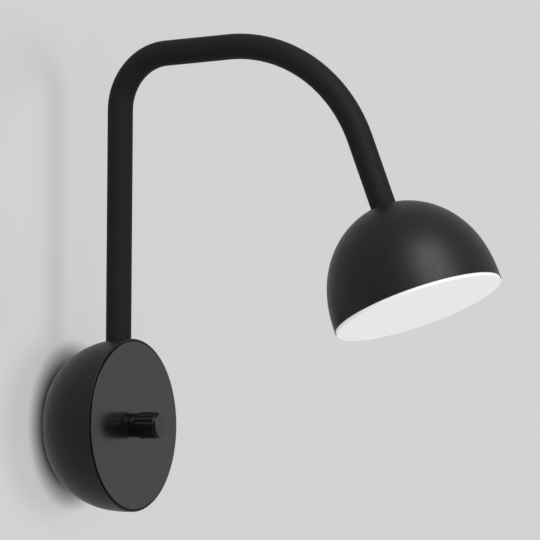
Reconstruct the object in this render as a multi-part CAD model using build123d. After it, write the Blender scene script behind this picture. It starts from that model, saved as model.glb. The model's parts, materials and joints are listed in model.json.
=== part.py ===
from build123d import *
import os
from math import asin, cos, radians, sin, sqrt

# A wall light: a half-dome base on the wall with a dimmer knob, a rubber-sleeved
# flexible neck that rises and bends over, and a half-dome head with an opal diffuser.
# The wall is the plane y = 0, the lamp stands out from it towards -Y, and +Z is up.
# The origin is the midpoint between the two wall screws, on the axis of the bowl.
# All sizes are in millimetres and degrees.

# ---------------------------------------------------------------- base bowl
bowl_rim_radius = 65.6
bowl_back_radius = 45.1      # where the dome is cut flat by the wall
bowl_depth = 52.6            # from the wall to the front rim
bowl_wall = 1.2
bowl_side_power = 1.96       # fullness of the side and of the crown; 2 is an ellipse
bowl_crown_power = 2.6
profile_points = 11          # points that shape each dome's side
boss_inset = 11.1            # from the bowl's inside to the axis of a chassis boss
boss_radius = 4.0
boss_count = 3
first_boss_angle = 30.0
clip_ring_width = 3.6        # ledge inside the rim that the front disc rests against
clip_ring_thickness = 1.2

# ---------------------------------------------------------------- front disc and knob
disc_proud = 1.0             # how far the disc stands out from the rim
disc_thickness = 1.5
disc_gap = 1.0               # shadow gap between disc and rim
clip_count = 3
first_clip_angle = 30.0
clip_width = 8.0
clip_thickness = 0.8
clip_hook = 2.6

knob_radius = 10.0
knob_length = 23.8           # from its root to its face
knob_gap = 0.4               # air between knob and disc
collar_step = 0.9            # how much smaller the collar's radius is
collar_length = 4.6
flute_count = 12
first_flute_angle = 15.0
flute_radius = 2.3
flute_depth = 0.7
lip_height = 0.7             # plain ring in front of the flutes
lip_chamfer = 0.35
face_step = 0.75             # how much smaller the face's radius is
face_thickness = 1.3
face_groove = 0.6            # dark line behind the face
groove_step = 1.3            # how far the groove cuts in

dimmer_radius = 8.0
dimmer_height = 9.5
bushing_radius = 3.5
bushing_length = 6.0
bushing_nut_width = 10.0     # across flats
bushing_nut_thickness = 2.0
shaft_radius = 3.0
shaft_reach = 15.0           # how far the dimmer's shaft stands in front of the disc
shaft_foot = 6.0             # length of shaft inside the dimmer

# ---------------------------------------------------------------- inside the bowl
chassis_thickness = 2.0
chassis_gap = 2.0
wall_plate_thickness = 1.5
wall_plate_gap = 2.0
wall_slot_spacing = 60.0
wall_slot_width = 4.6
wall_slot_length = 12.0
pillar_radius = 3.5
pillar_x = 24.0
pillar_z = 14.0
cable_radius = 4.0
grommet_radius = 8.0
grommet_length = 6.0
grommet_lip = 3.0
grommet_lip_thickness = 1.5

driver_width = 52.0
driver_height = 26.0
driver_depth = 15.5
driver_gap = 1.2             # between the driver and the lowest chassis screw
driver_ear = 6.0
driver_ear_thickness = 2.0
driver_corner = 2.0
terminal_width = 24.0
terminal_height = 12.0
terminal_depth = 11.0
terminal_poles = 3
terminal_hole_radius = 1.6
earth_z = 30.0

# ---------------------------------------------------------------- neck
riser_top = 239.5            # height of the end of the straight rising length
lower_bend_radius = 42.4
lower_bend_angle = 86.6
bridge_length = 54.6
upper_bend_radius = 115.0
upper_bend_angle = 71.6
drop_length = 53.9           # from the upper bend to the head's crown
sleeve_radius = 9.65
sleeve_wall = 2.5
core_wall = 2.6
lead_radius = 2.6
sleeve_clearance = 0.1       # between sleeve and core
skin_clearance = 0.3         # round the sleeve where it enters a dome
neck_inset = 7.6             # how far the sleeve's foot reaches inside the bowl
head_inset = 2.2             # how far its other end reaches inside the head

socket_step = 0.35           # how far the socket stands out round the sleeve's outline
socket_wall = 3.0
socket_ear = 2.0             # how far the socket's foot reaches beyond its barrel
socket_gap = 2.8             # between the socket and the front disc
socket_height = 21.0
swivel_clearance = 0.05
swivel_tail = 3.0            # length of the swivel stem below the socket
spigot_length = 15.0
flange_inset = 0.4           # how far the flange lies inside the sleeve's outline
flange_thickness = 1.7
circlip_width = 2.0
circlip_thickness = 1.0
axial_clearance = 0.3

# ---------------------------------------------------------------- head
head_rim_radius = 65.0
head_depth = 80.1
head_wall = 1.0
head_side_power = 1.9
head_crown_power = 2.29
seat_clearance = 0.15
washer_thickness = 2.0
head_nut_width = 14.0
head_nut_thickness = 4.0
centre_tube_radius = 5.0
sink_height = 20.0           # from the rim to the underside of the heat sink
sink_gap = 12.0              # between the heat sink and the head's inside
sink_thickness = 3.0
sink_boss_radius = 9.0
fin_count = 16
fin_height = 10.0
fin_thickness = 1.4
fin_inner_radius = 12.0
fin_inset = 2.0              # from the heat sink's edge to the ends of its fins
board_gap = 3.0              # between the board and the reflector's lip
board_thickness = 1.6
chip_size = 3.0
chip_thickness = 0.8
outer_chip_count = 12
outer_chip_circle = 34.0
inner_chip_count = 6
inner_chip_circle = 16.0
board_screw_circle = 25.0
board_screw_count = 3
first_board_screw_angle = 90.0
connector_width = 8.0
connector_height = 3.5
reflector_thickness = 0.8
reflector_lip = 3.0
reflector_gap = 1.4          # between the reflector's lower edge and the dome
reflector_seat_gap = 0.5     # between the reflector and the diffuser's edge
diffuser_proud = 2.6
diffuser_thickness = 2.0
diffuser_wall = 1.8
diffuser_wall_height = 8.6
diffuser_edge_radius = 1.0

# ---------------------------------------------------------------- screws
screw_radius = 1.5
screw_head_radius = 2.8
screw_head_height = 1.8
screw_length = 8.0
small_screw_radius = 1.25
small_head_radius = 2.2
small_head_height = 1.4
small_screw_length = 4.0
screw_fit = 0.05             # radial room round a screw
hidden_gap = 0.1             # between hidden pieces that don't touch

CENTRED_LOW = (Align.CENTER, Align.CENTER, Align.MIN)
CENTRED_HIGH = (Align.CENTER, Align.CENTER, Align.MAX)


# ---------------------------------------------------------------- shared shapes
def rod(radius, low, high):
    return Pos(0, 0, low) * Cylinder(radius, high - low, align=CENTRED_LOW)


def ring(outer, inner, low, high):
    return rod(outer, low, high) - rod(inner, low, high)


def turned(*corners):
    """A solid of revolution about Z from (radius, height) corners."""
    outline = Polyline(*corners, close=True)
    return revolve(Plane.XZ * make_face(outline), Axis.Z)


def hexagon(width, low, high):
    shape = RegularPolygon(width / 2, 6, major_radius=False)
    return Pos(0, 0, low) * extrude(shape, high - low)


def screw(radius, length, head_radius, head_height):
    """A cap screw: its head stands above z = 0 and its shank hangs below."""
    socket = hexagon(head_radius, head_height / 2, head_height)
    return rod(radius, -length, 0) + rod(head_radius, 0, head_height) - socket


def large_screw():
    return screw(screw_radius, screw_length, screw_head_radius, screw_head_height)


def small_screw():
    return screw(small_screw_radius, small_screw_length, small_head_radius, small_head_height)


def dome_radius(rim_radius, depth, side_power, crown_power, height):
    return rim_radius * (1 - (height / depth) ** crown_power) ** (1 / side_power)


def dome_curve(rim_radius, depth, side_power, crown_power, top):
    """The dome's side from its rim (height 0) up to height top, as a smooth curve."""
    end = asin((top / depth) ** (crown_power / 2))
    angles = [end * step / (profile_points - 1) for step in range(profile_points)]
    side = [
        (rim_radius * max(cos(a), 0) ** (2 / side_power), depth * sin(a) ** (2 / crown_power))
        for a in angles
    ]
    return Spline(*side)


def dome_solid(rim_radius, depth, side_power, crown_power, top):
    side = dome_curve(rim_radius, depth, side_power, crown_power, top)
    outline = [side, Line(side @ 1, (0, top)), Line((0, top), (0, 0)), Line((0, 0), side @ 0)]
    if (side @ 1).X < 1e-6:
        outline.pop(1)
    return revolve(Plane.XZ * make_face(outline), Axis.Z)


# ---------------------------------------------------------------- frames
# In the bowl's frame z is the distance from the wall, x is across and y is up.
bowl_frame = Plane(origin=(0, 0, 0), x_dir=(1, 0, 0), z_dir=(0, -1, 0))

bowl_full_depth = bowl_depth / (
    1 - (bowl_back_radius / bowl_rim_radius) ** bowl_side_power
) ** (1 / bowl_crown_power)
inner_rim_radius = bowl_rim_radius - bowl_wall
inner_full_depth = bowl_full_depth - bowl_wall
disc_front = bowl_depth + disc_proud
disc_back = disc_front - disc_thickness
disc_radius = inner_rim_radius - disc_gap

# The neck's socket stands between the front disc and the chassis plate.
socket_radius = sleeve_radius + socket_step
swivel_radius = socket_radius - socket_wall
socket_half_width = socket_radius + socket_ear
riser_from_wall = disc_back - socket_gap - socket_radius
chassis_front = riser_from_wall - socket_radius
chassis_height = chassis_front - chassis_thickness


def bowl_inner_radius(height):
    """The bowl's inside radius at a distance from the wall."""
    return dome_radius(
        inner_rim_radius, inner_full_depth, bowl_side_power, bowl_crown_power, bowl_depth - height
    )


boss_circle_radius = bowl_inner_radius(chassis_height) - boss_inset
boss_spots = list(PolarLocations(boss_circle_radius, boss_count, start_angle=first_boss_angle))


# The neck is a chain of straight and bent lengths in the plane x = 0. A station is a
# point (y, z) on its axis with a heading: 0 points up, 90 points straight out.
class Station:
    def __init__(self, y, z, heading):
        self.y, self.z, self.heading = y, z, heading

    def along(self):
        return (0, -sin(radians(self.heading)), cos(radians(self.heading)))

    def towards_centre(self):
        return (0, -cos(radians(self.heading)), -sin(radians(self.heading)))

    def plane(self):
        return Plane(origin=(0, self.y, self.z), x_dir=(1, 0, 0), z_dir=self.along())

    def straight(self, length):
        _, dy, dz = self.along()
        return Station(self.y + length * dy, self.z + length * dz, self.heading)

    def bend_centre(self, radius):
        _, dy, dz = self.towards_centre()
        return (0, self.y + radius * dy, self.z + radius * dz)

    def bent(self, radius, angle):
        _, centre_y, centre_z = self.bend_centre(radius)
        end = Station(0, 0, self.heading + angle)
        _, dy, dz = end.towards_centre()
        return Station(centre_y - radius * dy, centre_z - radius * dz, end.heading)


def straight_length(start, length, outer, inner):
    section = Circle(outer) - Circle(inner) if inner else Circle(outer)
    return extrude(start.plane() * section, length)


def bent_length(start, radius, angle, outer, inner):
    section = Circle(outer) - Circle(inner) if inner else Circle(outer)
    axis = Axis(start.bend_centre(radius), (1, 0, 0))
    return revolve(start.plane() * section, axis, angle)


riser_axis_y = -riser_from_wall
skin_height = dome_radius(
    bowl_rim_radius, bowl_full_depth, bowl_side_power, bowl_crown_power,
    bowl_depth - riser_from_wall,
)
neck_foot_height = skin_height - neck_inset
neck_start = Station(riser_axis_y, neck_foot_height, 0)
riser_end = Station(riser_axis_y, riser_top, 0)
bridge_start = riser_end.bent(lower_bend_radius, lower_bend_angle)
bridge_end = bridge_start.straight(bridge_length)
drop_start = bridge_end.bent(upper_bend_radius, upper_bend_angle)
crown = drop_start.straight(drop_length)
rim_centre = crown.straight(head_depth)

# In the head's frame z runs from the centre of its rim to its crown.
head_frame = Plane(
    origin=(0, rim_centre.y, rim_centre.z),
    x_dir=(1, 0, 0),
    z_dir=tuple(-c for c in crown.along()),
)

parts = {}


# ---------------------------------------------------------------- base bowl
def bowl_form(inset):
    """The space inside the bowl's outer skin, made smaller by inset."""
    form = dome_solid(
        bowl_rim_radius - inset,
        bowl_full_depth - inset,
        bowl_side_power,
        bowl_crown_power,
        bowl_depth,
    )
    return Pos(0, 0, bowl_depth) * Rot(180, 0, 0) * form


def base_bowl():
    """The shell, a ledge behind the front disc, and bosses that rise along the wall."""
    shell = bowl_form(0) - bowl_form(bowl_wall)
    mid_wall = bowl_form(bowl_wall / 2)
    ledge = ring(
        bowl_rim_radius, inner_rim_radius - clip_ring_width, disc_back - clip_ring_thickness, disc_back
    )
    pilot = rod(screw_radius + screw_fit, chassis_height - screw_length, chassis_height)
    column = rod(boss_radius, wall_plate_thickness + hidden_gap, chassis_height)
    shell += mid_wall & ledge
    shell += mid_wall & Compound([spot * column for spot in boss_spots])
    shell -= Compound([spot * pilot for spot in boss_spots])
    hole = rod(sleeve_radius + skin_clearance, neck_foot_height - neck_inset, skin_height * 2)
    return bowl_frame * shell - Pos(0, riser_axis_y, 0) * hole


parts["base_bowl"] = base_bowl()


# ---------------------------------------------------------------- front disc
def front_disc():
    disc = rod(disc_radius, disc_back, disc_front)
    hole = rod(bushing_radius + hidden_gap, disc_back, disc_front)
    return bowl_frame * (disc - hole)


def disc_clips():
    """Three bent clips behind the disc that hook under the ledge in the bowl."""
    ledge_inner = inner_rim_radius - clip_ring_width
    hook_top = disc_back - clip_ring_thickness - hidden_gap
    stem_face = sqrt((ledge_inner - hidden_gap) ** 2 - (clip_width / 2) ** 2)
    stem_x = stem_face - clip_thickness
    hook_reach = clip_thickness + clip_hook
    stem_height = disc_back - hook_top + clip_thickness
    stem = Pos(stem_x, 0, disc_back) * Box(
        clip_thickness, clip_width, stem_height, align=(Align.MIN, Align.CENTER, Align.MAX)
    )
    hook = Pos(stem_x, 0, hook_top) * Box(
        hook_reach, clip_width, clip_thickness, align=(Align.MIN, Align.CENTER, Align.MAX)
    )
    turns = [first_clip_angle + 360 * step / clip_count for step in range(clip_count)]
    return bowl_frame * Compound([Rot(0, 0, turn) * (stem + hook) for turn in turns])


parts["front_disc"] = front_disc()
parts["disc_clips"] = disc_clips()


# ---------------------------------------------------------------- dimmer and knob
collar_radius = knob_radius - collar_step
face_radius = knob_radius - face_step
groove_radius = knob_radius - groove_step
knob_root = disc_front + knob_gap
knob_face = knob_root + knob_length
shaft_low = disc_back - shaft_foot
shaft_high = disc_front + shaft_reach


def dimmer_body():
    can = rod(dimmer_radius, disc_back - dimmer_height, disc_back)
    bushing = rod(bushing_radius, disc_back, disc_back + bushing_length)
    bore = rod(shaft_radius + swivel_clearance, shaft_low - hidden_gap, disc_back + bushing_length)
    return bowl_frame * (can + bushing - bore)


def dimmer_nut():
    low, high = disc_front, disc_front + bushing_nut_thickness
    nut = hexagon(bushing_nut_width, low, high) - rod(bushing_radius + screw_fit, low, high)
    return bowl_frame * nut


def dimmer_shaft():
    return bowl_frame * rod(shaft_radius, shaft_low, shaft_high)


def knob_body():
    lip_top = knob_face - face_thickness - face_groove
    flute_low = knob_root + collar_length
    flute_high = lip_top - lip_height
    shape = turned(
        (0, knob_root),
        (collar_radius, knob_root),
        (collar_radius, flute_low),
        (knob_radius, flute_low + (knob_radius - collar_radius)),
        (knob_radius, lip_top - lip_chamfer),
        (knob_radius - lip_chamfer, lip_top),
        (groove_radius, lip_top),
        (groove_radius, lip_top + face_groove),
        (0, lip_top + face_groove),
    )
    flute = rod(flute_radius, flute_low, flute_high)
    flute_circle = knob_radius + flute_radius - flute_depth
    spots = PolarLocations(flute_circle, flute_count, start_angle=first_flute_angle)
    shape -= Compound([spot * flute for spot in spots])
    nut_room = bushing_nut_width / 2 / cos(radians(30)) + skin_clearance
    shape -= rod(nut_room, knob_root, disc_back + bushing_length + skin_clearance)
    shape -= rod(shaft_radius + screw_fit, knob_root, shaft_high)
    return bowl_frame * shape


def knob_face_disc():
    low = knob_face - face_thickness
    return bowl_frame * rod(face_radius, low, knob_face)


parts["dimmer_body"] = dimmer_body()
parts["dimmer_nut"] = dimmer_nut()
parts["dimmer_shaft"] = dimmer_shaft()
parts["knob_body"] = knob_body()
parts["knob_face_disc"] = knob_face_disc()


# ---------------------------------------------------------------- chassis and wall plate
pillar_spots = [Pos(side * pillar_x, pillar_z, 0) for side in (-1, 1)]
driver_z = driver_height / 2 + driver_gap + screw_head_radius - boss_circle_radius
terminal_z = driver_z + (driver_height - terminal_height) / 2
driver_screw_x = driver_width / 2 + driver_ear / 2
driver_spots = [Pos(side * driver_screw_x, driver_z, 0) for side in (-1, 1)]
socket_middle = neck_foot_height - flange_thickness - axial_clearance - socket_height / 2
socket_screw_x = (socket_half_width + swivel_radius) / 2
socket_spots = [Pos(side * socket_screw_x, socket_middle, 0) for side in (-1, 1)]


def chassis_plate():
    radius = bowl_inner_radius(chassis_height) - chassis_gap
    plate = rod(radius, chassis_height, chassis_front)
    large_hole = rod(screw_radius + screw_fit, chassis_height, chassis_front)
    small_hole = rod(small_screw_radius + screw_fit, chassis_height, chassis_front)
    plate -= Compound([spot * large_hole for spot in pillar_spots + boss_spots])
    plate -= Compound([spot * small_hole for spot in driver_spots + socket_spots])
    plate -= rod(cable_radius, chassis_height, chassis_front)
    return bowl_frame * plate


def chassis_screws():
    spots = [spot * Pos(0, 0, chassis_front) for spot in boss_spots]
    return bowl_frame * Compound([spot * large_screw() for spot in spots])


def pillar_screws():
    spots = [spot * Pos(0, 0, chassis_front) for spot in pillar_spots]
    return bowl_frame * Compound([spot * large_screw() for spot in spots])


def pillars():
    pilot = rod(screw_radius + screw_fit, chassis_height - screw_length, chassis_height)
    pillar = rod(pillar_radius, wall_plate_thickness, chassis_height) - pilot
    return bowl_frame * Compound([spot * pillar for spot in pillar_spots])


def wall_plate():
    radius = bowl_inner_radius(0) - wall_plate_gap
    plate = rod(radius, 0, wall_plate_thickness)
    slot = extrude(SlotOverall(wall_slot_length, wall_slot_width), wall_plate_thickness)
    sides = [Pos(side * wall_slot_spacing / 2, 0, 0) for side in (-1, 1)]
    plate -= Compound([side * slot for side in sides])
    plate -= rod(grommet_radius + hidden_gap, 0, wall_plate_thickness)
    plate -= Pos(0, earth_z, 0) * rod(screw_radius + screw_fit, 0, wall_plate_thickness)
    return bowl_frame * plate


def earth_screw():
    bolt = screw(screw_radius, wall_plate_thickness, screw_head_radius, screw_head_height)
    return bowl_frame * Pos(0, earth_z, wall_plate_thickness) * bolt


def cable_grommet():
    lip_low = wall_plate_thickness
    bush = rod(grommet_radius, 0, grommet_length)
    bush += rod(grommet_radius + grommet_lip, lip_low, lip_low + grommet_lip_thickness)
    return bowl_frame * (bush - rod(cable_radius, 0, grommet_length))


def terminal_positions():
    pitch = terminal_width / terminal_poles
    return [pitch * (step - (terminal_poles - 1) / 2) for step in range(terminal_poles)]


def terminal_block():
    top = chassis_height
    block = Pos(0, terminal_z, top) * Box(
        terminal_width, terminal_height, terminal_depth, align=CENTRED_HIGH
    )
    wire_way = Rot(90, 0, 0) * Cylinder(terminal_hole_radius, terminal_height)
    screw_way = rod(small_screw_radius + screw_fit, top - terminal_depth, top - terminal_depth / 2)
    for x in terminal_positions():
        block -= Pos(x, terminal_z, top - terminal_depth / 2) * wire_way
        block -= Pos(x, terminal_z, 0) * screw_way
    return bowl_frame * block


def terminal_screws():
    low = chassis_height - terminal_depth
    grub = rod(small_screw_radius, low, low + terminal_depth / 2 - terminal_hole_radius)
    return bowl_frame * Compound([Pos(x, terminal_z, 0) * grub for x in terminal_positions()])


def led_driver():
    case = Pos(0, driver_z, chassis_front) * Box(
        driver_width, driver_height, driver_depth, align=CENTRED_LOW
    )
    case = fillet(case.edges().filter_by(Axis.Z), driver_corner)
    ears = Pos(0, driver_z, chassis_front) * Box(
        driver_width + 2 * driver_ear, driver_height / 2, driver_ear_thickness, align=CENTRED_LOW
    )
    hole = rod(small_screw_radius + screw_fit, chassis_front, chassis_front + driver_ear_thickness)
    return bowl_frame * (case + ears - Compound([spot * hole for spot in driver_spots]))


def driver_screws():
    height = chassis_front + driver_ear_thickness
    spots = [spot * Pos(0, 0, height) for spot in driver_spots]
    return bowl_frame * Compound([spot * small_screw() for spot in spots])


parts["chassis_plate"] = chassis_plate()
parts["chassis_screws"] = chassis_screws()
parts["pillar_screws"] = pillar_screws()
parts["pillars"] = pillars()
parts["wall_plate"] = wall_plate()
parts["earth_screw"] = earth_screw()
parts["cable_grommet"] = cable_grommet()
parts["terminal_block"] = terminal_block()
parts["terminal_screws"] = terminal_screws()
parts["led_driver"] = led_driver()
parts["driver_screws"] = driver_screws()


# ---------------------------------------------------------------- neck socket and swivel
socket_top = neck_foot_height - flange_thickness - axial_clearance
socket_bottom = socket_top - socket_height
at_riser = Pos(0, riser_axis_y, 0)
flange_radius = sleeve_radius - flange_inset
circlip_radius = swivel_radius + circlip_width
core_radius = sleeve_radius - sleeve_wall - sleeve_clearance
core_bore = core_radius - core_wall
spigot_radius = core_bore - sleeve_clearance
lead_bore = lead_radius + axial_clearance


def neck_socket():
    """The block on the chassis in which the neck's stem turns."""
    back = riser_from_wall - chassis_front
    block = at_riser * rod(socket_radius, socket_bottom, socket_top)
    block += Pos(0, -chassis_front, socket_bottom) * Box(
        2 * socket_half_width, back, socket_height, align=(Align.CENTER, Align.MAX, Align.MIN)
    )
    bore = rod(swivel_radius + swivel_clearance, socket_bottom, socket_top)
    reach = small_screw_length - chassis_thickness
    pilot = rod(small_screw_radius + screw_fit, chassis_front, chassis_front + reach)
    pilots = bowl_frame * Compound([spot * pilot for spot in socket_spots])
    return block - at_riser * bore - pilots


def socket_screws():
    turned_over = Pos(0, 0, chassis_height) * Rot(180, 0, 0)
    return bowl_frame * Compound([spot * turned_over * small_screw() for spot in socket_spots])


def neck_stem():
    """The neck's foot: a stem in the socket, a flange, and a spigot in the core."""
    low = socket_bottom - axial_clearance - circlip_thickness - swivel_tail
    stem = rod(swivel_radius, low, socket_top + axial_clearance)
    flange = rod(flange_radius, socket_top + axial_clearance, neck_foot_height)
    spigot = rod(spigot_radius, neck_foot_height, neck_foot_height + spigot_length)
    bore = rod(lead_bore, low, neck_foot_height + spigot_length)
    return at_riser * (stem + flange + spigot - bore)


def neck_circlip():
    high = socket_bottom - axial_clearance
    return at_riser * ring(circlip_radius, swivel_radius, high - circlip_thickness, high)


parts["neck_socket"] = neck_socket()
parts["socket_screws"] = socket_screws()
parts["neck_stem"] = neck_stem()
parts["neck_circlip"] = neck_circlip()

# ---------------------------------------------------------------- neck lengths
# Each length of the neck has a rubber sleeve, a flexible metal core and the lead inside.
neck_layers = {
    "sleeve": (sleeve_radius, core_radius + sleeve_clearance),
    "core": (core_radius, core_bore),
    "lead": (lead_radius, 0),
}
riser_length = riser_top - neck_foot_height
for layer, (outer, inner) in neck_layers.items():
    parts["riser_" + layer] = straight_length(neck_start, riser_length, outer, inner)
    parts["lower_bend_" + layer] = bent_length(
        riser_end, lower_bend_radius, lower_bend_angle, outer, inner
    )
    parts["bridge_" + layer] = straight_length(bridge_start, bridge_length, outer, inner)
    parts["upper_bend_" + layer] = bent_length(
        bridge_end, upper_bend_radius, upper_bend_angle, outer, inner
    )
    parts["drop_" + layer] = straight_length(drop_start, drop_length + head_inset, outer, inner)

# ---------------------------------------------------------------- head
fitting_top = head_depth - head_inset
washer_top = fitting_top - flange_thickness
washer_bottom = washer_top - washer_thickness
inner_head_radius = head_rim_radius - head_wall
inner_head_depth = head_depth - head_wall
sink_top = sink_height + sink_thickness
boss_top = sink_top + fin_height
board_bottom = sink_height - board_thickness


def head_inner_radius(height):
    return dome_radius(
        inner_head_radius, inner_head_depth, head_side_power, head_crown_power, height
    )


sink_radius = head_inner_radius(sink_top) - sink_gap
fin_outer_radius = sink_radius - fin_inset
reflector_inner_radius = sink_radius - reflector_lip
board_radius = reflector_inner_radius - board_gap
board_screw_spots = list(
    PolarLocations(board_screw_circle, board_screw_count, start_angle=first_board_screw_angle)
)
diffuser_top = diffuser_wall_height - diffuser_proud


def head_dome():
    outside = dome_solid(
        head_rim_radius, head_depth, head_side_power, head_crown_power, head_depth
    )
    inside = dome_solid(
        inner_head_radius, inner_head_depth, head_side_power, head_crown_power, inner_head_depth
    )
    hole = rod(sleeve_radius + skin_clearance, washer_top, head_depth * 2)
    return head_frame * (outside - inside - hole)


def head_fitting():
    """A flanged tube: its spigot holds the core and its stem carries the head."""
    low = sink_top
    shape = rod(spigot_radius, fitting_top, fitting_top + spigot_length)
    shape += rod(flange_radius, washer_top, fitting_top)
    shape += rod(centre_tube_radius, low, washer_top)
    return head_frame * (shape - rod(lead_bore, low, fitting_top + spigot_length))


def dome_washer():
    radius = head_inner_radius(washer_top + seat_clearance)
    return head_frame * ring(
        radius, centre_tube_radius + hidden_gap, washer_bottom, washer_top
    )


def head_nut():
    low = washer_bottom - head_nut_thickness
    bore = rod(centre_tube_radius + screw_fit, low, washer_bottom)
    return head_frame * (hexagon(head_nut_width, low, washer_bottom) - bore)


def heat_sink():
    plate = rod(sink_radius, sink_height, sink_top)
    plate += rod(sink_boss_radius, sink_top, boss_top)
    fin = Pos(fin_inner_radius, 0, sink_top) * Box(
        fin_outer_radius - fin_inner_radius,
        fin_thickness,
        fin_height,
        align=(Align.MIN, Align.CENTER, Align.MIN),
    )
    for step in range(fin_count):
        plate += Rot(0, 0, 360 * step / fin_count) * fin
    plate -= rod(centre_tube_radius + screw_fit, sink_top, boss_top)
    pilot = rod(small_screw_radius + screw_fit, sink_height, sink_height + small_screw_length)
    return head_frame * (plate - Compound([spot * pilot for spot in board_screw_spots]))


def led_board():
    board = rod(board_radius, board_bottom, sink_height)
    hole = rod(small_screw_radius + screw_fit, board_bottom, sink_height)
    return head_frame * (board - Compound([spot * hole for spot in board_screw_spots]))


def led_chips():
    chip = Pos(0, 0, board_bottom) * Box(
        chip_size, chip_size, chip_thickness, align=CENTRED_HIGH
    )
    spots = list(PolarLocations(outer_chip_circle, outer_chip_count))
    spots += list(PolarLocations(inner_chip_circle, inner_chip_count))
    return head_frame * Compound([spot * chip for spot in spots])


def board_screws():
    turned_over = Pos(0, 0, board_bottom) * Rot(180, 0, 0)
    spots = [spot * turned_over for spot in board_screw_spots]
    return head_frame * Compound([spot * small_screw() for spot in spots])


def board_connector():
    block = Box(connector_width, connector_width, connector_height, align=CENTRED_HIGH)
    return head_frame * Pos(0, 0, board_bottom) * block


def reflector():
    """A white cone from the edge of the heat sink down to the diffuser."""
    low_radius = inner_head_radius - reflector_gap
    low = diffuser_top + reflector_seat_gap
    cone = turned(
        (reflector_inner_radius, sink_height - reflector_thickness),
        (reflector_inner_radius, sink_height),
        (sink_radius, sink_height),
        (low_radius, low),
        (low_radius - reflector_thickness, low),
        (sink_radius - reflector_thickness, sink_height - reflector_thickness),
    )
    return head_frame * cone


def diffuser():
    """An opal cup pressed into the rim, its face standing proud."""
    radius = inner_head_radius - seat_clearance
    cup = rod(radius, -diffuser_proud, diffuser_top)
    front = cup.edges().filter_by(GeomType.CIRCLE).sort_by(Axis.Z)[0]
    cup = fillet(front, min(diffuser_edge_radius, diffuser_thickness / 2))
    cup -= rod(radius - diffuser_wall, diffuser_thickness - diffuser_proud, diffuser_top)
    return head_frame * cup


parts["head_dome"] = head_dome()
parts["head_fitting"] = head_fitting()
parts["dome_washer"] = dome_washer()
parts["head_nut"] = head_nut()
parts["heat_sink"] = heat_sink()
parts["led_board"] = led_board()
parts["led_chips"] = led_chips()
parts["board_screws"] = board_screws()
parts["board_connector"] = board_connector()
parts["reflector"] = reflector()
parts["diffuser"] = diffuser()

os.makedirs("parts", exist_ok=True)
for name, shape in parts.items():
    export_step(shape, "parts/" + name + ".step")
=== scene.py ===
import json
from itertools import accumulate
from math import cos, pi, radians, sin, sqrt, tan

import bmesh
import bpy
import numpy as np
from mathutils import Matrix, Vector


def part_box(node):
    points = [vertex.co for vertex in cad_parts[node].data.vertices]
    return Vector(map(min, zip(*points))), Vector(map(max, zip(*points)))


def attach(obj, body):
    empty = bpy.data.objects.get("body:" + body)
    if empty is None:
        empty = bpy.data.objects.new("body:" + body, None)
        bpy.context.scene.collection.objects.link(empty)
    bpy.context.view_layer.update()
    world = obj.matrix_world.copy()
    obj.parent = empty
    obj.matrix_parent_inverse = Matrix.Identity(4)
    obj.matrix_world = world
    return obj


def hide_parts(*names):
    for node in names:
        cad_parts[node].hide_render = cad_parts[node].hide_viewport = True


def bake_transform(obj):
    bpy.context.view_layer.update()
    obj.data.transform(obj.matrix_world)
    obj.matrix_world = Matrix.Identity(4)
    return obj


# A wall light: a half-dome base with a dimmer knob, a rubber-sleeved neck and a
# half-dome head with an opal diffuser. The wall is the plane y = 0 and the lamp
# stands out from it towards -Y. Lengths are in metres.

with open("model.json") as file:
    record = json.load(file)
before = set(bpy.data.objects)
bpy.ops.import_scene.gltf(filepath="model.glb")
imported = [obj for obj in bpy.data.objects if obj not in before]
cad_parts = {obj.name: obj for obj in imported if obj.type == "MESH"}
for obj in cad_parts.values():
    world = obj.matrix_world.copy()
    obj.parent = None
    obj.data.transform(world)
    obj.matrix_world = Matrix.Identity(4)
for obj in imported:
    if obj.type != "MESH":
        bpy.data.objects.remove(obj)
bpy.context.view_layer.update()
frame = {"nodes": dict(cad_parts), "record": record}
scene = bpy.context.scene

MM = 0.001

# ---------------------------------------------------------------- sizes of the base
BOWL_BACK_RADIUS = 45.1 * MM     # where the dome is cut flat by the wall
BOWL_WALL = 1.2 * MM
BOWL_SIDE_POWER = 1.96
BOWL_CROWN_POWER = 2.6
LEDGE_WIDTH = 3.6 * MM
LEDGE_THICKNESS = 1.2 * MM
BOSS_RADIUS = 4 * MM
BOSS_ANGLES = (30, 150, 270)     # degrees round the middle of the base
PILOT_RADIUS = 1.55 * MM
PILOT_DEPTH = 8 * MM
SCREW_HEAD_RADIUS = 2.8 * MM
BOSS_GAP = 0.1 * MM              # between a boss and the wall plate
SKIN_GAP = 0.3 * MM              # round the sleeve where it enters a dome
NECK_HOLE_DEPTH = 8 * MM         # how far below the neck's foot its hole is cut
TOOL_OVERRUN = 1 * MM            # how far a cutting shape stands out of what it cuts
BUSHING_HOLE_RADIUS = 3.6 * MM

# ---------------------------------------------------------------- sizes of the knob
COLLAR_STEP = 0.9 * MM
COLLAR_LENGTH = 4.6 * MM
FLUTE_COUNT = 12
FLUTE_RADIUS = 2.3 * MM
FLUTE_DEPTH = 0.7 * MM
FLUTE_ROUNDING = 0.06 * MM       # softness of the crests between flutes and lands
FLUTE_END = 0.12 * MM            # length in which a flute closes below the lip
LIP_HEIGHT = 0.7 * MM
LIP_CHAMFER = 0.35 * MM
GROOVE_STEP = 1.3 * MM
GROOVE_WIDTH = 0.6 * MM
NUT_ROOM_RADIUS = 6.07 * MM
NUT_ROOM_DEPTH = 4.4 * MM
SHAFT_HOLE_RADIUS = 3.05 * MM

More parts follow.
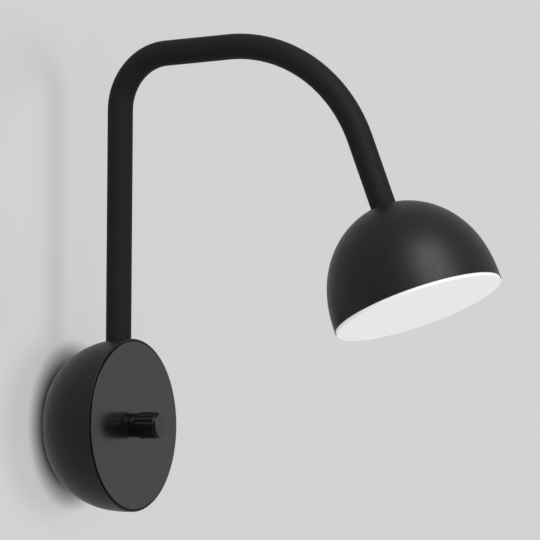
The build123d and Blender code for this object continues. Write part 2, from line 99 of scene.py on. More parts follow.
# ---------------------------------------------------------------- sizes of the neck
SLEEVE_WALL = 2.5 * MM
CORE_WALL = 2.6 * MM
CORE_PITCH = 4.0 * MM            # the core is wound: one ridge for each turn
CORE_RIDGE = 0.35 * MM
LOWER_BEND_RADIUS = 42.4 * MM
LOWER_BEND_ANGLE = radians(86.6)
BRIDGE_LENGTH = 54.6 * MM
UPPER_BEND_RADIUS = 115.0 * MM
UPPER_BEND_ANGLE = radians(71.6)
DROP_LENGTH = 53.9 * MM
HEAD_INSET = 2.2 * MM            # how far the neck reaches inside the head's crown
LOWER_SPREAD = 15 * MM           # a length past a bend's ends, where stations are found but not used
UPPER_SPREAD = 24 * MM

# ---------------------------------------------------------------- sizes of the head
HEAD_RIM_RADIUS = 65.0 * MM
HEAD_DEPTH = 80.1 * MM
HEAD_WALL = 1.0 * MM
HEAD_SIDE_POWER = 1.9
HEAD_CROWN_POWER = 2.29
HEAD_LIP = 0.6 * MM              # the shell's wall at the rebate that takes the diffuser
REBATE_DEPTH = 6.2 * MM
DIFFUSER_GAP = 0.15 * MM
DIFFUSER_PROUD = 2.6 * MM
DIFFUSER_THICKNESS = 2.0 * MM
DIFFUSER_WALL = 1.8 * MM
DIFFUSER_WALL_HEIGHT = 8.6 * MM

# ---------------------------------------------------------------- roundings and facets
EDGE_RADIUS = 0.25 * MM          # rounding of edges in painted sheet
KNOB_EDGE_RADIUS = 0.12 * MM
FACE_EDGE_RADIUS = 0.4 * MM
DIFFUSER_EDGE_RADIUS = 1.0 * MM
ROUNDED_FROM = radians(25)       # corners of an outline that turn more than this are rounded
ROUNDING_LIMIT = 0.45            # share of a stretch of outline that one rounding may take
SHARP_FROM = radians(35)         # edges of a mesh that turn more than this are shaded sharp
ON_AXIS = 0.0001 * MM            # a point nearer to the axis than this lies on it
CURVE_STEP = 1.5 * MM            # length of a facet along a curved outline
CURVE_SAMPLES = 4000             # points on which a curved outline's length is measured
DOME_SEGMENTS = 240
KNOB_SEGMENTS = FLUTE_COUNT * 36  # 36 facets for each flute and the land beside it
BOSS_SEGMENTS = 48
NECK_HOLE_SEGMENTS = 128
SLEEVE_SEGMENTS = 96
CORE_SEGMENTS = 40
CORE_STEP = CORE_PITCH / 8       # eight facets along each turn of the winding
LEAD_SEGMENTS = 32
LEAD_STEP = 2 * MM

# ---------------------------------------------------------------- sizes from the frame
bowl_low, bowl_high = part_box("base_bowl")
disc_low, disc_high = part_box("front_disc")
knob_low, knob_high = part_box("knob_body")
face_low, face_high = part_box("knob_face_disc")
shaft_low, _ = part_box("dimmer_shaft")
wall_plate_low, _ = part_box("wall_plate")
_, chassis_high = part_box("chassis_plate")
chassis_screws_low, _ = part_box("chassis_screws")
riser_low, riser_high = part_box("riser_sleeve")
_, core_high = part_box("riser_core")
_, lead_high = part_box("riser_lead")

bowl_depth = -bowl_low.y
bowl_rim_radius = bowl_high.x
# The depth of the whole dome, as if the wall didn't cut its crown off.
bowl_full_depth = bowl_depth / (
    1 - (BOWL_BACK_RADIUS / bowl_rim_radius) ** BOWL_SIDE_POWER
) ** (1 / BOWL_CROWN_POWER)
disc_back = -disc_high.y
disc_front = -disc_low.y
disc_radius = disc_high.x
shaft_end = -shaft_low.y
wall_plate_front = -wall_plate_low.y
chassis_back = -chassis_high.y
boss_circle = -chassis_screws_low.z - SCREW_HEAD_RADIUS
sleeve_radius = riser_high.x
core_radius = core_high.x
lead_radius = lead_high.x
neck_hole_radius = sleeve_radius + SKIN_GAP


# ---------------------------------------------------------------- the neck's line
class Station:
    """A point on the neck's axis. Heading 0 points up, a right angle straight out."""

    def __init__(self, place, heading):
        self.place = place
        self.heading = heading
        self.along = Vector((0, -sin(heading), cos(heading)))
        self.inward = Vector((0, -cos(heading), -sin(heading)))

    def straight(self, length):
        """The station that a straight length leads to."""
        return Station(self.place + self.along * length, self.heading)

    def bent(self, radius, angle):
        """The station that a bend leads to."""
        centre = self.place + self.inward * radius
        end = Station(centre, self.heading + angle)
        end.place = centre - end.inward * radius
        return end


# The length of each stretch and, where it is bent, its radius.
neck_stretches = (
    (riser_high.z - riser_low.z, None),
    (LOWER_BEND_RADIUS * LOWER_BEND_ANGLE, LOWER_BEND_RADIUS),
    (BRIDGE_LENGTH, None),
    (UPPER_BEND_RADIUS * UPPER_BEND_ANGLE, UPPER_BEND_RADIUS),
    (DROP_LENGTH + HEAD_INSET, None),
)
# Distances along the neck from its foot.
riser_end, bridge_start, bridge_end, drop_start, neck_end = accumulate(
    length for length, _ in neck_stretches
)
bridge_middle = (bridge_start + bridge_end) / 2


def neck_station(distance):
    """The station at a distance along the neck from its foot."""
    foot = Vector((0, (riser_low.y + riser_high.y) / 2, riser_low.z))
    station = Station(foot, 0)
    for length, radius in neck_stretches:
        reach = min(distance, length)
        if reach <= 0:
            break
        station = station.bent(radius, reach / radius) if radius else station.straight(reach)
        distance -= length
    return station


crown = neck_station(drop_start).straight(DROP_LENGTH)
rim_centre = crown.straight(HEAD_DEPTH).place

# In the base's frame z is the distance from the wall and y is up. In the head's frame
# z runs from the middle of the rim to the crown.
base_frame = Matrix.Rotation(radians(90), 4, "X")
head_frame = Matrix.Translation(rim_centre) @ Matrix.Rotation(crown.heading - pi, 4, "X")


# ---------------------------------------------------------------- outlines
# A dome's outline is the curve on which
# (radius / rim_radius) ** side_power + (height / depth) ** crown_power is 1.
def dome_side(rim_radius, depth, side_power, crown_power, low, high):
    """Evenly spaced (radius, height) points of a dome's side between two heights."""
    height = np.linspace(low, high, CURVE_SAMPLES)
    share = np.clip(1 - (height / depth) ** crown_power, 0, None)
    radius = rim_radius * share ** (1 / side_power)
    length = np.concatenate(([0], np.cumsum(np.hypot(np.diff(radius), np.diff(height)))))
    marks = np.linspace(0, length[-1], round(length[-1] / CURVE_STEP) + 2)
    return list(zip(np.interp(marks, length, radius), np.interp(marks, length, height)))


def dome_height(rim_radius, depth, side_power, crown_power, radius):
    """The height at which a dome has this radius."""
    return depth * (1 - (radius / rim_radius) ** side_power) ** (1 / crown_power)


def softened(outline, radius, steps=4):
    """A closed outline of (radius, height) points with its sharp corners rounded."""
    points = [Vector(point) for point in outline]
    result = []
    for k, here in enumerate(points):
        back = points[k - 1] - here
        ahead = points[(k + 1) % len(points)] - here
        turn = pi - back.angle(ahead)
        if turn < ROUNDED_FROM or here.x < ON_AXIS:
            result.append(tuple(here))
            continue
        longest = ROUNDING_LIMIT * min(back.length, ahead.length)
        reach = min(radius * tan(turn / 2), longest)
        arm = reach / tan(turn / 2)
        middle = (back.normalized() + ahead.normalized()).normalized()
        centre = here + middle * arm / cos(turn / 2)
        start = here + back.normalized() * reach - centre
        end = here + ahead.normalized() * reach - centre
        for step in range(steps + 1):
            share = step / steps
            spoke = (start * sin((1 - share) * turn) + end * sin(share * turn)) / sin(turn)
            result.append(tuple(centre + spoke))
    return result


# ---------------------------------------------------------------- meshes
def new_piece(name, vertices, faces, matrix=Matrix()):
    """An object in the scene whose faces all look outwards."""
    mesh = bpy.data.meshes.new(name)
    mesh.from_pydata([matrix @ Vector(vertex) for vertex in vertices], [], faces)
    work = bmesh.new()
    work.from_mesh(mesh)
    bmesh.ops.recalc_face_normals(work, faces=work.faces)
    work.to_mesh(mesh)
    work.free()
    piece = bpy.data.objects.new(name, mesh)
    scene.collection.objects.link(piece)
    return piece


def ring_faces(rings):
    """Faces between each ring of vertex numbers and the next, and from the last to the first.
    A ring with one number is a point on the axis."""
    faces = []
    for low, high in zip(rings, rings[1:] + rings[:1]):
        count = max(len(low), len(high))
        if count == 1:
            continue
        for k in range(count):
            after = (k + 1) % count
            corners = (
                low[k % len(low)],
                low[after % len(low)],
                high[after % len(high)],
                high[k % len(high)],
            )
            faces.append(tuple(dict.fromkeys(corners)))
    return faces


def turned(name, outline, matrix, segments=DOME_SEGMENTS, trim=None):
    """A solid of revolution about Z from a closed outline of (radius, height) points.
    trim(radius, height, angle), where given, cuts the radius in."""
    vertices, rings = [], []
    for radius, height in outline:
        first = len(vertices)
        if radius < ON_AXIS:
            vertices.append((0, 0, height))
            rings.append([first])
            continue
        for k in range(segments):
            angle = 2 * pi * k / segments
            here = trim(radius, height, angle) if trim else radius
            vertices.append((here * cos(angle), here * sin(angle), height))
        rings.append(list(range(first, first + segments)))
    return new_piece(name, vertices, ring_faces(rings), matrix)


def tube(name, start, end, outer, inner, step, segments):
    """A closed length of the neck. outer(distance, angle) is its outer radius and inner
    its bore, or 0 where it is solid."""
    count = round((end - start) / step)
    marks = [start + (end - start) * k / count for k in range(count + 1)]
    stations = [neck_station(mark) for mark in marks]
    turns = [2 * pi * k / segments for k in range(segments)]
    vertices, rings = [], []

    def add_ring(station, radii):
        first = len(vertices)
        for angle, radius in zip(turns, radii):
            across = Vector((cos(angle), 0, 0)) + station.inward * sin(angle)
            vertices.append(station.place + across * radius)
        rings.append(list(range(first, len(vertices))))

    def add_centre(station):
        vertices.append(station.place)
        rings.append([len(vertices) - 1])

    for mark, station in zip(marks, stations):
        add_ring(station, [outer(mark, angle) for angle in turns])
    if inner:
        for station in reversed(stations):
            add_ring(station, [inner] * segments)
    else:
        add_centre(stations[-1])
        add_centre(stations[0])
    return new_piece(name, vertices, ring_faces(rings))


def apply_modifiers(piece):
    """The piece's mesh becomes what its modifiers make of it."""
    depsgraph = bpy.context.evaluated_depsgraph_get()
    mesh = bpy.data.meshes.new_from_object(
        piece.evaluated_get(depsgraph), preserve_all_data_layers=True, depsgraph=depsgraph
    )
    piece.modifiers.clear()
    old, piece.data = piece.data, mesh
    bpy.data.meshes.remove(old)
    mesh.name = piece.name


def combine(piece, tool, operation):
    """The tool is joined to the piece, cut from it or crossed with it, and used up."""
    modifier = piece.modifiers.new("combine", "BOOLEAN")
    modifier.operation = operation
    modifier.solver = "EXACT"
    modifier.object = tool
    apply_modifiers(piece)
    bpy.data.objects.remove(tool)


def smooth(piece):
    """Smooth shading that keeps flat faces flat and sharp edges sharp."""
    piece.data.shade_smooth()
    piece.data.set_sharp_from_angle(angle=SHARP_FROM)
    modifier = piece.modifiers.new("normals", "WEIGHTED_NORMAL")
    modifier.keep_sharp = True
    apply_modifiers(piece)


# ---------------------------------------------------------------- materials
NOISE_RANGE = (0.3, 0.7)         # most values of a noise lie between these


def map_range(nodes, links, source, taken, given):
    """source between two taken values becomes a value between two given ones."""
    node = nodes.new("ShaderNodeMapRange")
    for socket, value in zip(("From Min", "From Max", "To Min", "To Max"), (*taken, *given)):
        node.inputs[socket].default_value = value
    links.new(source, node.inputs["Value"])
    return node.outputs["Result"]


class Shader:
    """A material's node tree, with short calls that add nodes and link them."""

    def __init__(self, name):
        self.material = bpy.data.materials.new(name)
        self.material.use_nodes = True
        self.nodes = self.material.node_tree.nodes
        self.links = self.material.node_tree.links
        self.nodes.clear()
        self.output = self.nodes.new("ShaderNodeOutputMaterial")
        self.surface = self.nodes.new("ShaderNodeBsdfPrincipled")
        self.links.new(self.surface.outputs["BSDF"], self.output.inputs["Surface"])
        self.place = self.nodes.new("ShaderNodeTexCoord").outputs["Object"]

    def set(self, **values):
        """Sets inputs of the surface, with _ for each space in their names."""
        for name, value in values.items():
            self.surface.inputs[name.replace("_", " ")].default_value = value

    def noise(self, size, detail=2.0, roughness=0.5, stretch=(1, 1, 1)):
        """Noise with grains about size across, longer where stretch is below 1."""
        mapping = self.nodes.new("ShaderNodeMapping")
        mapping.inputs["Scale"].default_value = stretch
        self.links.new(self.place, mapping.inputs["Vector"])
        node = self.nodes.new("ShaderNodeTexNoise")
        node.inputs["Scale"].default_value = 1 / size
        node.inputs["Detail"].default_value = detail
        node.inputs["Roughness"].default_value = roughness
        self.links.new(mapping.outputs["Vector"], node.inputs["Vector"])
        return node.outputs["Fac"]

    def cells(self, size):
        """Pits about size across, packed side by side."""
        node = self.nodes.new("ShaderNodeTexVoronoi")
        node.inputs["Scale"].default_value = 1 / size
        self.links.new(self.place, node.inputs["Vector"])
        return node.outputs["Distance"]

    def plus(self, first, second, weight):
        """first plus second times weight."""
        node = self.nodes.new("ShaderNodeMath")
        node.operation = "MULTIPLY_ADD"
        self.links.new(second, node.inputs[0])
        node.inputs[1].default_value = weight
        self.links.new(first, node.inputs[2])
        return node.outputs["Value"]

    def colour(self, source, dark, light):
        """The noise source drives the colour from dark to light."""
        ramp = self.nodes.new("ShaderNodeValToRGB")
        for stop, position, colour in zip(ramp.color_ramp.elements, NOISE_RANGE, (dark, light)):
            stop.position = position
            stop.color = (*colour, 1)
        self.links.new(source, ramp.inputs["Fac"])
        self.links.new(ramp.outputs["Color"], self.surface.inputs["Base Color"])

    def roughness(self, source, smoothest, roughest):
        """The noise source drives the roughness from smoothest to roughest."""
        result = map_range(self.nodes, self.links, source, NOISE_RANGE, (smoothest, roughest))
        self.links.new(result, self.surface.inputs["Roughness"])

    def bump(self, source, height):
        """The source is a relief, height deep."""
        node = self.nodes.new("ShaderNodeBump")
        node.inputs["Strength"].default_value = 1
        node.inputs["Distance"].default_value = height
        self.links.new(source, node.inputs["Height"])
        self.links.new(node.outputs["Normal"], self.surface.inputs["Normal"])


def grey(value):
    return (value, value, value)


def greys(level, spread):
    """A darker and a lighter grey, each a share of the level away from it."""
    return grey(level * (1 - spread)), grey(level * (1 + spread))


def powder_coat(name, level, smoothest, roughest, specular, peel_height):
    """Satin powder coat: a fine orange peel under a slow drift in colour and gloss."""
    shader = Shader(name)
    shader.set(Specular_IOR_Level=specular)
    fine_peel = shader.noise(0.6 * MM, detail=1.5)
    wide_peel = shader.noise(2.4 * MM, detail=1)
    shader.colour(shader.noise(9 * MM, detail=3), *greys(level, spread=0.12))
    shader.roughness(shader.noise(5 * MM, detail=4), smoothest, roughest)
    shader.bump(shader.plus(fine_peel, wide_peel, weight=0.6), peel_height)
    return shader.material


def turned_anodised(name, level, smoothest, roughest, specular):
    """Black anodised metal with fine turning marks round the lamp's depth axis."""
    shader = Shader(name)
    shader.set(Specular_IOR_Level=specular)
    marks = shader.noise(0.5 * MM, detail=4, roughness=0.65, stretch=(0.15, 1.6, 0.15))
    shader.colour(shader.noise(3 * MM, detail=4), *greys(level, spread=0.15))
    shader.roughness(marks, smoothest, roughest)
    shader.bump(marks, height=0.003 * MM)
    return shader.material


def rubber(name, level, smoothest, roughest, grain, specular=0.5):
    """Matt rubber: a fine moulded grain and faint mottling."""
    shader = Shader(name)
    shader.set(Specular_IOR_Level=specular)
    fine_grain = shader.noise(grain, detail=3, roughness=0.65)
    pits = shader.cells(1.6 * grain)
    shader.colour(shader.noise(6 * MM, detail=5, roughness=0.6), *greys(level, spread=0.15))
    shader.roughness(shader.noise(3 * MM, detail=4), smoothest, roughest)
    shader.bump(shader.plus(fine_grain, pits, weight=0.5), height=0.02 * MM)
    return shader.material


def opal(name, dark, light, smoothest, roughest, glow):
    """Satin opal acrylic with the light inside it turned low."""
    shader = Shader(name)
    shader.set(
        Subsurface_Weight=0.3,
        Subsurface_Radius=(1.0, 0.95, 0.9),
        Subsurface_Scale=2.5 * MM,
        Emission_Color=(1.0, 0.998, 0.99, 1),
        Emission_Strength=glow,
        IOR=1.49,
    )
    shader.colour(shader.noise(14 * MM, detail=2), dark, light)
    shader.roughness(shader.noise(2 * MM, detail=3), smoothest, roughest)
    shader.bump(shader.noise(0.4 * MM, detail=1), height=0.003 * MM)
    return shader.material


def metal(name, dark, light, smoothest, roughest, stretch=(1, 1, 1)):
    """Bare or plated metal with fine marks, drawn out where stretch is below 1."""
    shader = Shader(name)
    shader.set(Metallic=1.0)
    marks = shader.noise(0.7 * MM, detail=4, roughness=0.6, stretch=stretch)
    shader.colour(shader.noise(4 * MM, detail=4), dark, light)
    shader.roughness(marks, smoothest, roughest)
    shader.bump(marks, height=0.004 * MM)
    return shader.material


def plastic(name, dark, light, smoothest, roughest):
    """Moulded plastic with a spark-eroded grain."""
    shader = Shader(name)
    shader.colour(shader.noise(8 * MM, detail=3), dark, light)
    shader.roughness(shader.noise(1.2 * MM, detail=3), smoothest, roughest)
    shader.bump(shader.noise(0.35 * MM, detail=2), height=0.006 * MM)
    return shader.material


# Each finish has its name, its colour, its least and greatest roughness and what else its
# kind asks for. The keys are the record's slots, and face_paint for the knob's face.
materials = {
    "black_paint": powder_coat("black_paint", 0.003, 0.42, 0.48, specular=0.26, peel_height=0.006 * MM),
    "disc_paint": powder_coat("disc_paint", 0.003, 0.18, 0.22, specular=0.60, peel_height=0.002 * MM),
    "face_paint": powder_coat("face_paint", 0.003, 0.24, 0.30, specular=0.50, peel_height=0.002 * MM),
    "knob_black": turned_anodised("knob_black", 0.003, 0.26, 0.34, specular=0.26),
    "sleeve_rubber": rubber("sleeve_rubber", 0.005, 0.66, 0.76, grain=0.4 * MM, specular=0.18),
    "grommet_rubber": rubber("grommet_rubber", 0.022, 0.55, 0.66, grain=0.5 * MM),
    "lead_pvc": rubber("lead_pvc", 0.016, 0.42, 0.50, grain=0.8 * MM),
    "opal": opal("opal", grey(0.46), grey(0.48), 0.36, 0.44, glow=0.39),
    "white_reflector": plastic("white_reflector", grey(0.86), grey(0.90), 0.25, 0.32),
    "board_white": plastic("board_white", grey(0.80), grey(0.86), 0.40, 0.48),
    "chip_phosphor": plastic("chip_phosphor", (0.82, 0.66, 0.20), (0.88, 0.74, 0.26), 0.40, 0.50),
    "white_plastic": plastic("white_plastic", grey(0.80), grey(0.85), 0.42, 0.52),
    "dark_plastic": plastic("dark_plastic", grey(0.030), grey(0.045), 0.40, 0.50),
    "bare_aluminium": metal("bare_aluminium", grey(0.70), grey(0.77), 0.30, 0.42, stretch=(1, 1, 0.1)),
    "zinc_steel": metal("zinc_steel", (0.55, 0.56, 0.57), (0.64, 0.65, 0.66), 0.32, 0.46),
    "core_steel": metal("core_steel", grey(0.45), grey(0.55), 0.35, 0.50),
    "brass": metal("brass", (0.70, 0.54, 0.25), (0.78, 0.63, 0.32), 0.28, 0.40),
}


def dress_nodes():
    """Every CAD node gets the material of its slot in the record."""
    for part in frame["record"]["subparts"]:
        for slot in frame["nodes"][part["node"]].material_slots:
            slot.link = "OBJECT"
            slot.material = materials[part["material_slot"]]


def finished(piece, slot, body, *nodes, look=None):
    """The piece is smoothed, gets its slot's material or another look, rides on its body
    unless that is None, and hides the CAD nodes that it stands for."""
    smooth(piece)
    piece.data.materials.clear()
    piece.data.materials.append(materials[look or slot])
    if body:
        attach(piece, body)
    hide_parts(*nodes)


# ---------------------------------------------------------------- base
def bowl_side(inset, near, far):
    """Points of the bowl's skin, made smaller by inset, from a distance far from the wall
    to a distance near it."""
    side = dome_side(
        bowl_rim_radius - inset,
        bowl_full_depth - inset,
        BOWL_SIDE_POWER,
        BOWL_CROWN_POWER,
        bowl_depth - far,
        bowl_depth - near,
    )
    return [(radius, bowl_depth - height) for radius, height in side]


def columns(radius, low, high):
    """A rod at each boss, all in one mesh."""
    vertices, faces = [], []
    for turn in BOSS_ANGLES:
        centre = Matrix.Rotation(radians(turn), 4, "Z") @ Vector((boss_circle, 0, 0))
        first = len(vertices)
        for height in (low, high):
            for k in range(BOSS_SEGMENTS):
                angle = 2 * pi * k / BOSS_SEGMENTS
                spoke = Vector((radius * cos(angle), radius * sin(angle), height))
                vertices.append(centre + spoke)
        low_ring = list(range(first, first + BOSS_SEGMENTS))
        high_ring = [number + BOSS_SEGMENTS for number in low_ring]
        # The faces that lead back from the high ring to the low one are left out.
        sides = ring_faces([low_ring, high_ring])[:BOSS_SEGMENTS]
        faces += sides + [tuple(low_ring), tuple(high_ring)]
    return new_piece("columns", vertices, faces, base_frame)


def bosses():
    """A column for each chassis screw, trimmed by the middle of the bowl's wall."""
    middle = bowl_side(BOWL_WALL / 2, 0, bowl_depth)
    space = turned("bosses", middle + [(0, 0), (0, bowl_depth)], base_frame)
    rods = columns(BOSS_RADIUS, wall_plate_front + BOSS_GAP, chassis_back)
    combine(space, rods, "INTERSECT")
    return space


def neck_hole():
    """What is cut out of the bowl for the neck."""
    low = riser_low.z - NECK_HOLE_DEPTH
    high = bowl_rim_radius + TOOL_OVERRUN
    outline = [(0, low), (neck_hole_radius, low), (neck_hole_radius, high), (0, high)]
    at_riser = Matrix.Translation((0, neck_station(riser_end).place.y, 0))
    return turned("hole", outline, at_riser, NECK_HOLE_SEGMENTS)


def base_bowl():
    """The shell, its ledge, the chassis bosses and the hole for the neck."""
    ledge_radius = bowl_rim_radius - BOWL_WALL - LEDGE_WIDTH
    ledge_back = disc_back - LEDGE_THICKNESS
    outline = bowl_side(0, 0, bowl_depth)[::-1]
    outline += bowl_side(BOWL_WALL, disc_back, bowl_depth)
    outline += [(ledge_radius, disc_back), (ledge_radius, ledge_back)]
    outline += bowl_side(BOWL_WALL, 0, ledge_back)
    piece = turned("bowl_shell", softened(outline, EDGE_RADIUS), base_frame)
    combine(piece, bosses(), "UNION")
    pilots = columns(PILOT_RADIUS, chassis_back - PILOT_DEPTH, chassis_back + TOOL_OVERRUN)
    combine(piece, pilots, "DIFFERENCE")
    combine(piece, neck_hole(), "DIFFERENCE")
    finished(piece, "black_paint", "base", "base_bowl")


def front_disc():
    """A flat disc with a hole for the dimmer's bushing."""
    outline = [
        (BUSHING_HOLE_RADIUS, disc_back),
        (disc_radius, disc_back),
        (disc_radius, disc_front),
        (BUSHING_HOLE_RADIUS, disc_front),
    ]
    piece = turned("disc_plate", softened(outline, EDGE_RADIUS), base_frame)
    finished(piece, "disc_paint", "base", "front_disc")


def knob_body():
    """Collar, flutes, a plain lip and a groove behind the face."""
    radius, root, top = knob_high.x, -knob_high.y, -knob_low.y
    collar_radius = radius - COLLAR_STEP
    flute_low = root + COLLAR_LENGTH
    lip_top = top - GROOVE_WIDTH
    flute_high = lip_top - LIP_HEIGHT
    flute_circle = radius + FLUTE_RADIUS - FLUTE_DEPTH
    spacing = 2 * pi / FLUTE_COUNT
    outline = [
        (NUT_ROOM_RADIUS, root),
        (collar_radius, root),
        (collar_radius, flute_low),
        (radius, flute_low + COLLAR_STEP),
        (radius, flute_high),
        (radius, flute_high + FLUTE_END),
        (radius, lip_top - LIP_CHAMFER),
        (radius - LIP_CHAMFER, lip_top),
        (radius - GROOVE_STEP, lip_top),
        (radius - GROOVE_STEP, top),
        (0, top),
        (0, shaft_end),
        (SHAFT_HOLE_RADIUS, shaft_end),
        (SHAFT_HOLE_RADIUS, root + NUT_ROOM_DEPTH),
        (NUT_ROOM_RADIUS, root + NUT_ROOM_DEPTH),
    ]

    def fluted(here, height, angle):
        """The radius where the nearest flute cuts in, with its crests rounded."""
        if not flute_low < height <= flute_high or here < collar_radius:
            return here
        offset = angle % spacing - spacing / 2
        across = flute_circle * sin(offset)
        if abs(across) >= FLUTE_RADIUS:
            return here
        cut = flute_circle * cos(offset) - sqrt(FLUTE_RADIUS**2 - across**2)
        return here - FLUTE_ROUNDING * np.logaddexp(0, (here - cut) / FLUTE_ROUNDING)

    soft_outline = softened(outline, KNOB_EDGE_RADIUS, steps=3)
    piece = turned("knob_grip", soft_outline, base_frame, KNOB_SEGMENTS, fluted)
    finished(piece, "knob_black", "knob", "knob_body")


def knob_face():
    """The disc let into the knob's end."""
    low, high, radius = -face_high.y, -face_low.y, face_high.x
    outline = [(0, low), (radius, low), (radius, high), (0, high)]
    piece = turned("knob_cap", softened(outline, FACE_EDGE_RADIUS), base_frame, KNOB_SEGMENTS)
    finished(piece, "disc_paint", "knob", "knob_face_disc", look="face_paint")


# ---------------------------------------------------------------- neck
def neck_layer(layer, slot, outer, inner, step, segments):
    """A layer of the neck in two pieces that meet in the middle of the bridge, where
    nothing bends."""
    lower = tube(layer + "_lower", 0, bridge_middle, outer, inner, step, segments)
    finished(lower, slot, None, *[f"{part}_{layer}" for part in ("riser", "lower_bend", "bridge")])
    start, end = riser_end - LOWER_SPREAD, bridge_start + LOWER_SPREAD
    neck_station(start).place
    neck_station(end).place
    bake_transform(lower)
    upper = tube(layer + "_upper", bridge_middle, neck_end, outer, inner, step, segments)
    finished(upper, slot, None, *[f"{part}_{layer}" for part in ("upper_bend", "drop")])
    start, end = bridge_end - UPPER_SPREAD, drop_start + UPPER_SPREAD
    neck_station(start).place
    neck_station(end).place
    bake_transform(upper)


def sleeve_outside(distance, angle):
    return sleeve_radius


def core_outside(distance, angle):
    """The wound core's radius, which dips once in each turn of its winding."""
    dip = (1 - cos(2 * pi * distance / CORE_PITCH - angle)) / 2
    return core_radius - CORE_RIDGE * dip


def lead_outside(distance, angle):
    return lead_radius


def neck():
    """The sleeve, the core inside it and the lead inside that."""
    sleeve_bore = sleeve_radius - SLEEVE_WALL
    core_bore = core_radius - CORE_WALL
    neck_layer("sleeve", "sleeve_rubber", sleeve_outside, sleeve_bore, CURVE_STEP, SLEEVE_SEGMENTS)
    neck_layer("core", "core_steel", core_outside, core_bore, CORE_STEP, CORE_SEGMENTS)
    neck_layer("lead", "lead_pvc", lead_outside, 0, LEAD_STEP, LEAD_SEGMENTS)


# ---------------------------------------------------------------- head
def head_dome():
    """The shell, open at the rebated rim and at the hole where the neck enters the crown."""
    shape = (HEAD_SIDE_POWER, HEAD_CROWN_POWER)
    outer = (HEAD_RIM_RADIUS, HEAD_DEPTH, *shape)
    inner = (HEAD_RIM_RADIUS - HEAD_WALL, HEAD_DEPTH - HEAD_WALL, *shape)
    outline = dome_side(*outer, 0, dome_height(*outer, neck_hole_radius))
    outline += dome_side(*inner, REBATE_DEPTH, dome_height(*inner, neck_hole_radius))[::-1]
    outline += [(HEAD_RIM_RADIUS - HEAD_LIP, height) for height in (REBATE_DEPTH, 0)]
    piece = turned("head_shell", softened(outline, EDGE_RADIUS), head_frame)
    finished(piece, "black_paint", "head", "head_dome")


def diffuser():
    """An opal cup whose face stands a little proud of the rim."""
    radius = HEAD_RIM_RADIUS - HEAD_LIP - DIFFUSER_GAP
    face = -DIFFUSER_PROUD
    top = DIFFUSER_WALL_HEIGHT - DIFFUSER_PROUD
    outline = [
        (0, face),
        (radius, face),
        (radius, top),
        (radius - DIFFUSER_WALL, top),
        (radius - DIFFUSER_WALL, face + DIFFUSER_THICKNESS),
        (0, face + DIFFUSER_THICKNESS),
    ]
    piece = turned("opal_cup", softened(outline, DIFFUSER_EDGE_RADIUS, steps=6), head_frame)
    finished(piece, "opal", "head", "diffuser")


# ---------------------------------------------------------------- stage, light and camera
BACKGROUND = (0.645, 0.651, 0.665)
STAGE_SHARE = 0.71               # of the background's colour, given off by the stage itself
STAGE_ALBEDO = 0.27              # of the background's colour, as paint that the lamps light
STAGE_DRIFT = 0.003              # how far that paint drifts, as a share of its colour
STAGE_DRIFT_SIZE = 0.4
CONTACT_REACH = 17 * MM          # how near a piece has to be to dim what the stage gives off: painted contact shadow
CONTACT_OPENNESS = (0.18, 0.92)  # open share of the view where that is nothing and where it is full
STAGE_SIZE = 8.0
FLOOR_HEIGHT = -1.4
WALL_GAP = 0.5 * MM

CAMERA_AZIMUTH = radians(-60.559)
CAMERA_ELEVATION = radians(-2.109)
CAMERA_ROLL = radians(0.411)
CAMERA_DISTANCE = 5.3516
CAMERA_REACH = 100.0             # how far the camera sees
CAMERA_LENS = 470.84             # millimetres, on Blender's own 36 mm wide sensor
AIM_RIGHT = 102.99 * MM          # from the middle of the base's rim to the picture's middle
AIM_UP = 118.45 * MM


def stage_material(name):
    """A matt surface that is seen from its front only. It gives off most of its colour by
    itself, so that the lamps' shadows on it stay soft, and less where a piece is close
    beside it, which paints a dark contact shadow there."""
    shader = Shader(name)
    dark, light = (
        [STAGE_ALBEDO * (1 + drift) * part for part in BACKGROUND]
        for drift in (-STAGE_DRIFT, STAGE_DRIFT)
    )
    shader.colour(shader.noise(STAGE_DRIFT_SIZE, detail=2), dark, light)
    shader.set(Roughness=1.0, Specular_IOR_Level=0.0, Emission_Color=(*BACKGROUND, 1))
    nodes, links = shader.nodes, shader.links
    # What the stage gives off is dimmed where a piece closes it in: a painted contact shadow.
    openness = nodes.new("ShaderNodeAmbientOcclusion")
    openness.inputs["Distance"].default_value = CONTACT_REACH
    glow = map_range(nodes, links, openness.outputs["AO"], CONTACT_OPENNESS, (0, STAGE_SHARE))
    links.new(glow, shader.surface.inputs["Emission Strength"])
    clear = nodes.new("ShaderNodeBsdfTransparent")
    mix = nodes.new("ShaderNodeMixShader")
    back = nodes.new("ShaderNodeNewGeometry").outputs["Backfacing"]
    links.new(back, mix.inputs["Fac"])
    links.new(shader.surface.outputs["BSDF"], mix.inputs[1])
    links.new(clear.outputs["BSDF"], mix.inputs[2])
    links.new(mix.outputs["Shader"], shader.output.inputs["Surface"])
    return shader.material


def stage_plane(name, centre, facing):
    """A large square of the stage. It is seen, but it lights, mirrors and shades nothing."""
    half = STAGE_SIZE / 2
    corners = [(-half, -half, 0), (half, -half, 0), (half, half, 0), (-half, half, 0)]
    turn = Vector(facing).to_track_quat("Z", "Y").to_matrix().to_4x4()
    matrix = Matrix.Translation(centre) @ turn
    mesh = bpy.data.meshes.new(name)
    mesh.from_pydata([matrix @ Vector(corner) for corner in corners], [], [(0, 1, 2, 3)])
    mesh.materials.append(stage_material(name))
    made = bpy.data.objects.new(name, mesh)
    scene.collection.objects.link(made)
    made.visible_diffuse = False
    made.visible_glossy = False
    made.visible_transmission = False
    made.visible_shadow = False
    return made


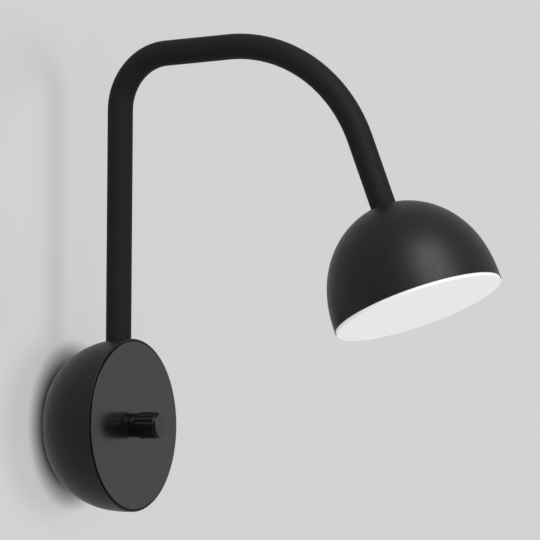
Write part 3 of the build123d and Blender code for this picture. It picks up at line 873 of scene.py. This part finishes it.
def soft_light(name, azimuth, elevation, width, share, stage, state):
    """A round lamp far away, width degrees across. Azimuth 0 is straight out from the wall.
    share is the light that it gives to a surface that faces it, where 1 is a plain level.
    With the state INCLUDE it lights the stage alone, with EXCLUDE all but the stage."""
    lamp = bpy.data.lights.new(name, "SUN")
    lamp.energy = share * pi
    lamp.angle = radians(width)
    made = bpy.data.objects.new(name, lamp)
    around = Matrix.Rotation(radians(azimuth), 4, "Z")
    down = Matrix.Rotation(radians(90 - elevation), 4, "X")
    made.matrix_world = around @ down
    scene.collection.objects.link(made)
    receivers = bpy.data.collections.new(name + "_receivers")
    for stage_piece in stage:
        receivers.objects.link(stage_piece)
    made.light_linking.receiver_collection = receivers
    for entry in receivers.collection_objects:
        entry.light_linking.link_state = state


def room(bright_side, dimmest, brightest):
    """A pale room. What is seen of it, also in gloss and through glass, is its plain colour.
    Its light on matt surfaces is brightest from the bright side and dimmest from opposite."""
    world = bpy.data.worlds.new("room")
    scene.world = world
    world.use_nodes = True
    nodes, links = world.node_tree.nodes, world.node_tree.links
    nodes.clear()
    output = nodes.new("ShaderNodeOutputWorld")
    seen = nodes.new("ShaderNodeBackground")
    seen.inputs["Color"].default_value = (*BACKGROUND, 1)
    light = nodes.new("ShaderNodeBackground")
    light.inputs["Color"].default_value = (*grey(1), 1)
    direction = nodes.new("ShaderNodeTexCoord").outputs["Generated"]
    dot = nodes.new("ShaderNodeVectorMath")
    dot.operation = "DOT_PRODUCT"
    dot.inputs[1].default_value = Vector(bright_side).normalized()
    links.new(direction, dot.inputs[0])
    shade = map_range(nodes, links, dot.outputs["Value"], (-1, 1), (dimmest, brightest))
    links.new(shade, light.inputs["Strength"])
    path = nodes.new("ShaderNodeLightPath")
    looked_at = path.outputs["Is Camera Ray"]
    for ray in ("Is Glossy Ray", "Is Transmission Ray"):
        either = nodes.new("ShaderNodeMath")
        either.operation = "MAXIMUM"
        links.new(looked_at, either.inputs[0])
        links.new(path.outputs[ray], either.inputs[1])
        looked_at = either.outputs["Value"]
    mix = nodes.new("ShaderNodeMixShader")
    links.new(looked_at, mix.inputs["Fac"])
    links.new(light.outputs["Background"], mix.inputs[1])
    links.new(seen.outputs["Background"], mix.inputs[2])
    links.new(mix.outputs["Shader"], output.inputs["Surface"])


def camera():
    """The photograph's view: nearly level, from the lamp's left, with a long lens."""
    azimuth, elevation = CAMERA_AZIMUTH, CAMERA_ELEVATION
    back = Vector((sin(azimuth) * cos(elevation), -cos(azimuth) * cos(elevation), sin(elevation)))
    right = Vector((cos(azimuth), sin(azimuth), 0))
    up = back.cross(right)
    aim = Vector((0, -bowl_depth, 0)) + right * AIM_RIGHT + up * AIM_UP
    lens = bpy.data.cameras.new("camera")
    lens.lens = CAMERA_LENS
    lens.clip_end = CAMERA_REACH
    made = bpy.data.objects.new("camera", lens)
    turn = Matrix((right, up, back)).transposed().to_4x4() @ Matrix.Rotation(CAMERA_ROLL, 4, "Z")
    made.matrix_world = Matrix.Translation(aim + back * CAMERA_DISTANCE) @ turn
    scene.collection.objects.link(made)
    scene.camera = made


def studio():
    """The wall and floor, the light and the camera."""
    wall = stage_plane("wall", centre=(0, WALL_GAP, 0), facing=(0, -1, 0))
    floor = stage_plane("floor", centre=(0, 0, FLOOR_HEIGHT), facing=(0, 0, 1))
    stage = (wall, floor)
    room(bright_side=(0, -0.35, -0.94), dimmest=0.10, brightest=0.90)
    soft_light("side_light", azimuth=35.5, elevation=3, width=24, share=0.60, stage=stage, state="INCLUDE")
    soft_light("key_light", azimuth=-33, elevation=42, width=43, share=1.0, stage=stage, state="EXCLUDE")
    camera()
    scene.view_settings.view_transform = "Standard"


# ---------------------------------------------------------------- the scene
dress_nodes()
base_bowl()
front_disc()
knob_body()
knob_face()
neck()
head_dome()
diffuser()
studio()
